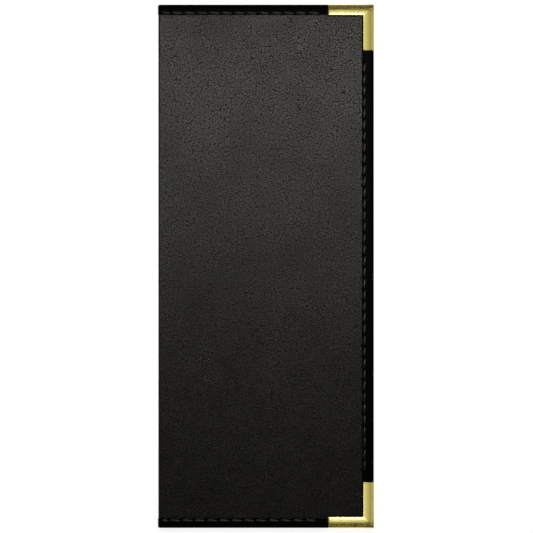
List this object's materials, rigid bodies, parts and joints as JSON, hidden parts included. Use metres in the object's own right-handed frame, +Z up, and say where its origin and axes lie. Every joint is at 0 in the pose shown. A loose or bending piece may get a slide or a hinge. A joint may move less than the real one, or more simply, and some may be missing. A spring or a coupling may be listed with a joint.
{
  "type": "menu cover",
  "caption": "Tall folding menu cover in black leatherette with sewn edge tape, brass fore-edge corners, stiff panels and clear inside pockets.",
  "frame": {"origin": "middle of the closed cover's outline, on the surface that the back panel lies on", "axes": "+X from the spine to the fore-edge, +Y from the foot to the head, +Z up through the front panel"},
  "size_m": [0.1206, 0.2922, 0.008],
  "materials": {
    "leatherette": "black leatherette with a fine irregular pebble grain, satin",
    "edge_tape": "smooth black leatherette edge tape, folded over and sewn",
    "brass": "pressed brass sheet, polished, with a faint antique tone",
    "thread": "black bonded sewing thread",
    "greyboard": "dense grey stiffener board",
    "lining_cloth": "black woven lining cloth",
    "clear_sheet": "clear soft vinyl sheet, glossy"
  },
  "bodies": {
    "back_panel": {"back_leatherette": "leatherette", "back_board": "greyboard", "back_lining": "lining_cloth", "back_pocket_sheet": "clear_sheet", "back_binding": "edge_tape", "back_head_corner": "brass", "back_foot_corner": "brass", "back_stitching": "thread"},
    "front_panel": {"front_leatherette": "leatherette", "front_board": "greyboard", "front_lining": "lining_cloth", "front_pocket_sheet": "clear_sheet", "front_binding": "edge_tape", "front_head_corner": "brass", "front_foot_corner": "brass", "front_stitching": "thread"},
    "spine": {"spine_leatherette": "leatherette", "spine_board": "greyboard", "spine_lining": "lining_cloth", "spine_head_binding": "edge_tape", "spine_foot_binding": "edge_tape", "spine_stitching": "thread"}
  },
  "joints": [
    {"name": "back_hinge", "type": "hinge", "parent": "back_panel", "child": "spine", "pos_m": [-0.05944, 0, 0.00093], "axis": [0, -1, 0], "range_deg": [0, 90], "deforming": ["spine_leatherette", "spine_lining", "spine_head_binding", "spine_foot_binding"]},
    {"name": "front_hinge", "type": "hinge", "parent": "spine", "child": "front_panel", "pos_m": [-0.05944, 0, 0.00707], "axis": [0, -1, 0], "range_deg": [0, 90], "deforming": ["spine_leatherette", "spine_lining", "spine_head_binding", "spine_foot_binding"]}
  ]
}
